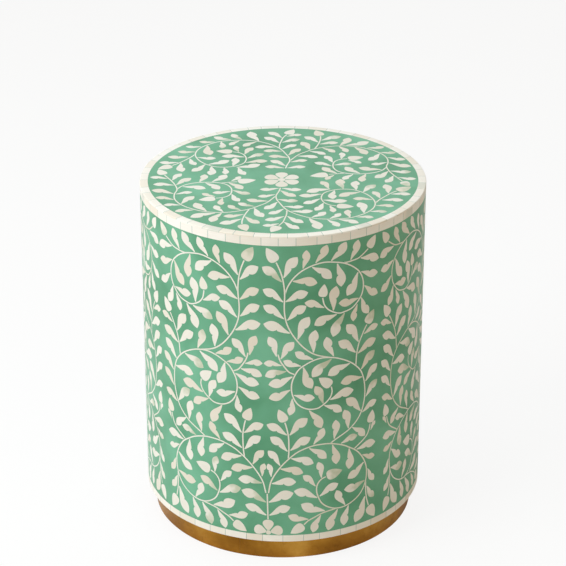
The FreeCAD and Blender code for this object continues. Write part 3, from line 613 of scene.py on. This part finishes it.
def tileRow(name, profile, count, offset, node):
    # each tile is a closed profile of radius and height carried along its arc, drawn in a little at both ends
    cuts = tileCuts(count, offset)
    ends = np.append(cuts[1:], cuts[0] + 2 * math.pi)
    half = tiles["joint"] / table["radius"] / 2
    ease = tiles["ease"] / table["radius"]
    start, stop = cuts + half, ends - half
    inner = np.linspace(0, 1, tiles["arcSteps"])
    middle = (start + ease)[:, None] + (stop - start - 2 * ease)[:, None] * inner[None, :]
    a = np.concatenate([start[:, None], middle, stop[:, None]], axis=1)[:, :, None]
    inset = drawnIn(profile, tiles["ease"])
    sections = np.stack([inset] + [profile] * tiles["arcSteps"] + [inset])
    r, z = sections[None, :, :, 0], sections[None, :, :, 1]
    co = np.stack([r * np.cos(a), r * np.sin(a), z + 0 * a], axis=-1)
    grid = co.shape[:3]                                 # tiles, sections, profile points
    index = np.arange(np.prod(grid)).reshape(grid)
    turn = np.roll(index, -1, axis=2)
    sides = quads(index[:, :-1], index[:, 1:], turn[:, 1:], turn[:, :-1])
    caps = np.concatenate([index[:, 0, :], index[:, -1, ::-1]])
    piece = newPiece(name, co.reshape(-1, 3), [sides, caps], node)
    spot = np.stack([np.cos(cuts), np.sin(cuts), 0 * cuts + profile[:, 1].mean()], axis=1)
    each = np.repeat(np.arange(count), grid[1] * grid[2])
    pointValue(piece.data, "tint", (placeNoise(spot, 3) ** inlay["tintPower"])[each])
    pointValue(piece.data, "thin", (placeNoise(spot, 4) < tiles["thinShare"]).astype(float)[each])
    along = np.broadcast_to((a - a[:, :1]) * table["radius"], grid).reshape(-1)
    walk = np.cumsum(np.linalg.norm(np.diff(profile, axis=0, prepend=profile[-1:]), axis=1))
    across = np.broadcast_to(walk, grid).reshape(-1)
    cornerMap(piece.data, "grain", np.stack([along, across], axis=1))
    dress(piece, finishes["tile"])
    roundOff(piece.data, tiles["sharp"])


def jointRow(name, profile, node):
    # the profile carried round the whole drum just below the bone, seen only in the thin joints
    shrunk = drawnIn(profile, tiles["recess"])
    a = np.linspace(0, 2 * math.pi, tiles["jointSteps"], endpoint=False)[:, None]
    r, z = shrunk[None, :, 0], shrunk[None, :, 1]
    co = np.stack([r * np.cos(a), r * np.sin(a), z + 0 * a], axis=-1)
    index = np.arange(co.shape[0] * co.shape[1]).reshape(co.shape[:2])
    ahead = np.roll(index, -1, axis=0)
    faces = quads(index, ahead, np.roll(ahead, -1, axis=1), np.roll(index, -1, axis=1))
    piece = newPiece(name, co.reshape(-1, 3), [faces], node)
    dress(piece, finishes["joint"])
    roundOff(piece.data, tiles["sharp"])


def bandProfile(foot, head, ease):
    # a rectangle of radius and height over the core, its two outer corners cut back a little
    core, outer = table["core"], table["radius"]
    return np.array([[core, foot], [outer - ease, foot], [outer, foot + ease], [outer, head - ease],
                     [outer - ease, head], [core, head]])


def rimProfile():
    # the flat rim's section with a round outer top edge
    turn = np.linspace(0, math.pi / 2, tiles["roundSteps"])
    edge = np.stack([table["radius"] - tiles["rimRound"] * (1 - np.cos(turn)),
                     table["height"] - tiles["rimRound"] * (1 - np.sin(turn))], axis=1)
    return np.concatenate([[[table["ringRadius"], table["panelHead"]], [table["radius"], table["panelHead"]]],
                           edge, [[table["ringRadius"], table["height"]]]])


rimBand = bandProfile(table["fieldHead"], table["panelHead"], tiles["rimEase"])
footBand = bandProfile(table["plinthHead"], table["fieldFoot"], tiles["footEase"])
rows = (
    # name, node, profile, count of tiles, place of the first joint in shares of a tile
    ("boneRim", "rim_ring", rimProfile(), 52, 0.3),
    ("boneRimEdge", "rim_edge", rimBand, 51, 0.0),
    ("boneFootBand", "foot_band", footBand, 46, 0.5),
)
for name, node, profile, count, offset in rows:
    tileRow(name + "Tiles", profile, count, offset, node + "_tiles")
    jointRow(name + "Joints", profile, node + "_joints")
print("tile rows laid")


# brass sheet round the plinth

brassLow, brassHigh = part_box("plinth_brass_right")
brass = {
    "inner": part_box("plinth_ring_upper")[1][0],       # the sheet lies on the plinth's rings
    "sheet": 0.0009,
    "foot": brassLow[2],
    "head": brassHigh[2],
    "seams": (-19.0, 101.0, 221.0),   # degrees from the front, towards the right
    "seamGap": 0.00025,
    "dent": 0.00022,          # depth of the soft hand-worked waves, inwards only
    "waves": ((7.0, 2.1, 0.0), (17.0, -3.3, 1.0)),    # turns of each wave by arc, by rise, and its start
    "pinchShare": 0.2,        # share of the dent that is kept for the seams
    "pinchWidth": 0.004,      # the sheet is pressed in this near to a seam
    "arcSteps": 160,
    "riseSteps": 10,
    "sharp": 40.0,            # degrees
}


def brassStrip(name, startDegrees, endDegrees, node):
    # a bent sheet: its radius falls by two slow waves of arc and rise, and a little more at the seams
    radius = brass["inner"] + brass["sheet"]
    gap = brass["seamGap"] / radius
    arc = np.radians(np.linspace(startDegrees, endDegrees, brass["arcSteps"]) - 90.0)
    arc[0], arc[-1] = arc[0] + gap / 2, arc[-1] - gap / 2
    turn, share = np.meshgrid(arc, np.linspace(0, 1, brass["riseSteps"]), indexing="ij")
    swings = [np.sin(byArc * turn + byRise * share + start) for byArc, byRise, start in brass["waves"]]
    wave = 0.5 + 0.25 * sum(swings)
    edge = np.minimum(turn - arc[0], arc[-1] - turn) * radius
    pinch = np.clip(1 - edge / brass["pinchWidth"], 0, 1)
    outer = radius - brass["dent"] * (wave * (1 - brass["pinchShare"]) + pinch * brass["pinchShare"])
    inner = 0 * turn + brass["inner"]
    rise = brass["foot"] + (brass["head"] - brass["foot"]) * share
    sheets = [np.stack([r * np.cos(turn), r * np.sin(turn), rise], axis=-1) for r in (outer, inner)]
    co = np.concatenate([sheet.reshape(-1, 3) for sheet in sheets])
    front = np.arange(turn.size).reshape(turn.shape)
    rear = front + turn.size
    faces = [quads(front[:-1, :-1], front[1:, :-1], front[1:, 1:], front[:-1, 1:]),
             quads(rear[:-1, :-1], rear[:-1, 1:], rear[1:, 1:], rear[1:, :-1]),
             quads(front[:-1, 0], rear[:-1, 0], rear[1:, 0], front[1:, 0]),
             quads(front[:-1, -1], front[1:, -1], rear[1:, -1], rear[:-1, -1]),
             quads(front[0, :-1], front[0, 1:], rear[0, 1:], rear[0, :-1]),
             quads(front[-1, :-1], rear[-1, :-1], rear[-1, 1:], front[-1, 1:])]
    piece = newPiece(name, co, faces, node)
    dress(piece, finishes["brass"])
    roundOff(piece.data, brass["sharp"])


seams = brass["seams"] + (brass["seams"][0] + 360.0,)
for side, start, stop in zip(("right", "back", "left"), seams, seams[1:]):
    brassStrip("brassSheet" + side.title(), start, stop, "plinth_brass_" + side)
print("brass wrapped")


# hidden frame, screws and pads keep their solids

hidden = {
    "board": ("top_panel", "bottom_panel", "plinth_ring_upper", "plinth_ring_lower",
              "hoop_upper", "hoop_middle", "hoop_lower"),
    "plywood": ("shell_front", "shell_rear"),
    "softwood": ("stud_1", "stud_2", "stud_3", "stud_4", "stud_5", "stud_6"),
    "steel": ("stud_top_screws", "stud_bottom_screws", "top_panel_screws", "bottom_panel_screws",
              "plinth_screws"),
    "felt": ("felt_pads",),
}
for finish, names in hidden.items():
    for name in names:
        dress(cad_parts[name], finishes[finish])
print("frame dressed")


# floor, light and camera

studio = {
    "floorSize": 14.0,
    "floorDrop": 0.0001,      # just below the felt pads
    "floorColour": (0.92, 0.92, 0.91, 1),
    "shadow": 0.12,           # how much of the floor's own shading shows
    "mirrored": 0.18,         # how much of the white shows in metal, over the floor's own shading
    "ambient": 0.28,
    "ambientTint": (1.0, 0.88, 0.70, 1),
    "cameraPlace": (0.0, -3.2285, 1.9277),
    "cameraPitch": 64.46,     # degrees from straight down
    "lens": 141.55,
    "sensor": 36.0,
}
lamps = (
    # name, place, aim, side, watts, colour
    ("windowLeft", (-2.6, -1.6, 2.4), (0, 0, 0.35), 2.2, 98.0, (0.95, 0.98, 1.0)),
    ("overhead", (-0.6, 0.4, 3.0), (0, 0, 0.5), 2.0, 37.0, (0.82, 0.94, 1.0)),
    ("warmRight", (2.4, -1.8, 1.2), (0, 0, 0.3), 1.2, 10.0, (1.0, 0.76, 0.42)),
)


def paleFloor():
    material = bpy.data.materials.new("paleFloor")
    material.use_nodes = True
    tree = material.node_tree
    tree.nodes.clear()
    out = tree.nodes.new("ShaderNodeOutputMaterial")
    soft = addNode(tree, "ShaderNodeBsdfDiffuse", Color=studio["floorColour"])
    white = addNode(tree, "ShaderNodeEmission", Color=(1, 1, 1, 1), Strength=1.0)
    path = tree.nodes.new("ShaderNodeLightPath")
    straight = math2(tree, "MAXIMUM", path.outputs["Is Camera Ray"], path.outputs["Is Transmission Ray"])
    seen = math2(tree, "MAXIMUM", math2(tree, "MULTIPLY", straight, 1 - studio["shadow"]),
                 math2(tree, "MULTIPLY", path.outputs["Is Glossy Ray"], studio["mirrored"]))
    mix = tree.nodes.new("ShaderNodeMixShader")
    link(tree, seen, mix.inputs[0])
    link(tree, soft.outputs[0], mix.inputs[1])
    link(tree, white.outputs[0], mix.inputs[2])
    # clear from below, so the underside can be looked at
    clear = tree.nodes.new("ShaderNodeBsdfTransparent")
    side = tree.nodes.new("ShaderNodeNewGeometry")
    oneSided = tree.nodes.new("ShaderNodeMixShader")
    link(tree, side.outputs["Backfacing"], oneSided.inputs[0])
    link(tree, mix.outputs[0], oneSided.inputs[1])
    link(tree, clear.outputs[0], oneSided.inputs[2])
    link(tree, oneSided.outputs[0], out.inputs["Surface"])
    half, low = studio["floorSize"] / 2, -studio["floorDrop"]
    mesh = bpy.data.meshes.new("floor")
    mesh.from_pydata([(-half, -half, low), (half, -half, low), (half, half, low), (-half, half, low)], [],
                     [(0, 1, 2, 3)])
    floor = bpy.data.objects.new("floor", mesh)
    bpy.context.scene.collection.objects.link(floor)
    dress(floor, material)


def studioWorld():
    world = bpy.data.worlds.new("studio")
    bpy.context.scene.world = world
    world.use_nodes = True
    tree = world.node_tree
    tree.nodes.clear()
    out = tree.nodes.new("ShaderNodeOutputWorld")
    ambient = addNode(tree, "ShaderNodeBackground", Color=studio["ambientTint"], Strength=studio["ambient"])
    white = addNode(tree, "ShaderNodeBackground", Color=(1, 1, 1, 1), Strength=1.0)
    path = tree.nodes.new("ShaderNodeLightPath")
    mix = tree.nodes.new("ShaderNodeMixShader")
    seen = math2(tree, "MAXIMUM", path.outputs["Is Camera Ray"],
                 math2(tree, "MAXIMUM", path.outputs["Is Glossy Ray"], path.outputs["Is Transmission Ray"]))
    link(tree, seen, mix.inputs[0])
    link(tree, ambient.outputs[0], mix.inputs[1])
    link(tree, white.outputs[0], mix.inputs[2])
    link(tree, mix.outputs[0], out.inputs["Surface"])


def softbox(name, place, aim, side, watts, colour):
    lamp = bpy.data.lights.new(name, "AREA")
    lamp.shape, lamp.size = "SQUARE", side
    lamp.energy, lamp.color = watts, colour
    obj = bpy.data.objects.new(name, lamp)
    obj.location = place
    heading = np.array(aim) - np.array(place)
    flat = math.hypot(heading[0], heading[1])
    obj.rotation_euler = (math.atan2(flat, -heading[2]), 0, math.atan2(-heading[0], heading[1]))
    bpy.context.scene.collection.objects.link(obj)


def viewCamera():
    camera = bpy.data.cameras.new("camera")
    camera.lens, camera.sensor_width = studio["lens"], studio["sensor"]
    obj = bpy.data.objects.new("camera", camera)
    obj.location = studio["cameraPlace"]
    obj.rotation_euler = (math.radians(studio["cameraPitch"]), 0, 0)
    bpy.context.scene.collection.objects.link(obj)
    bpy.context.scene.camera = obj


paleFloor()
studioWorld()
for lamp in lamps:
    softbox(*lamp)
viewCamera()
bpy.context.scene.view_settings.view_transform = "Standard"
print("studio lit")
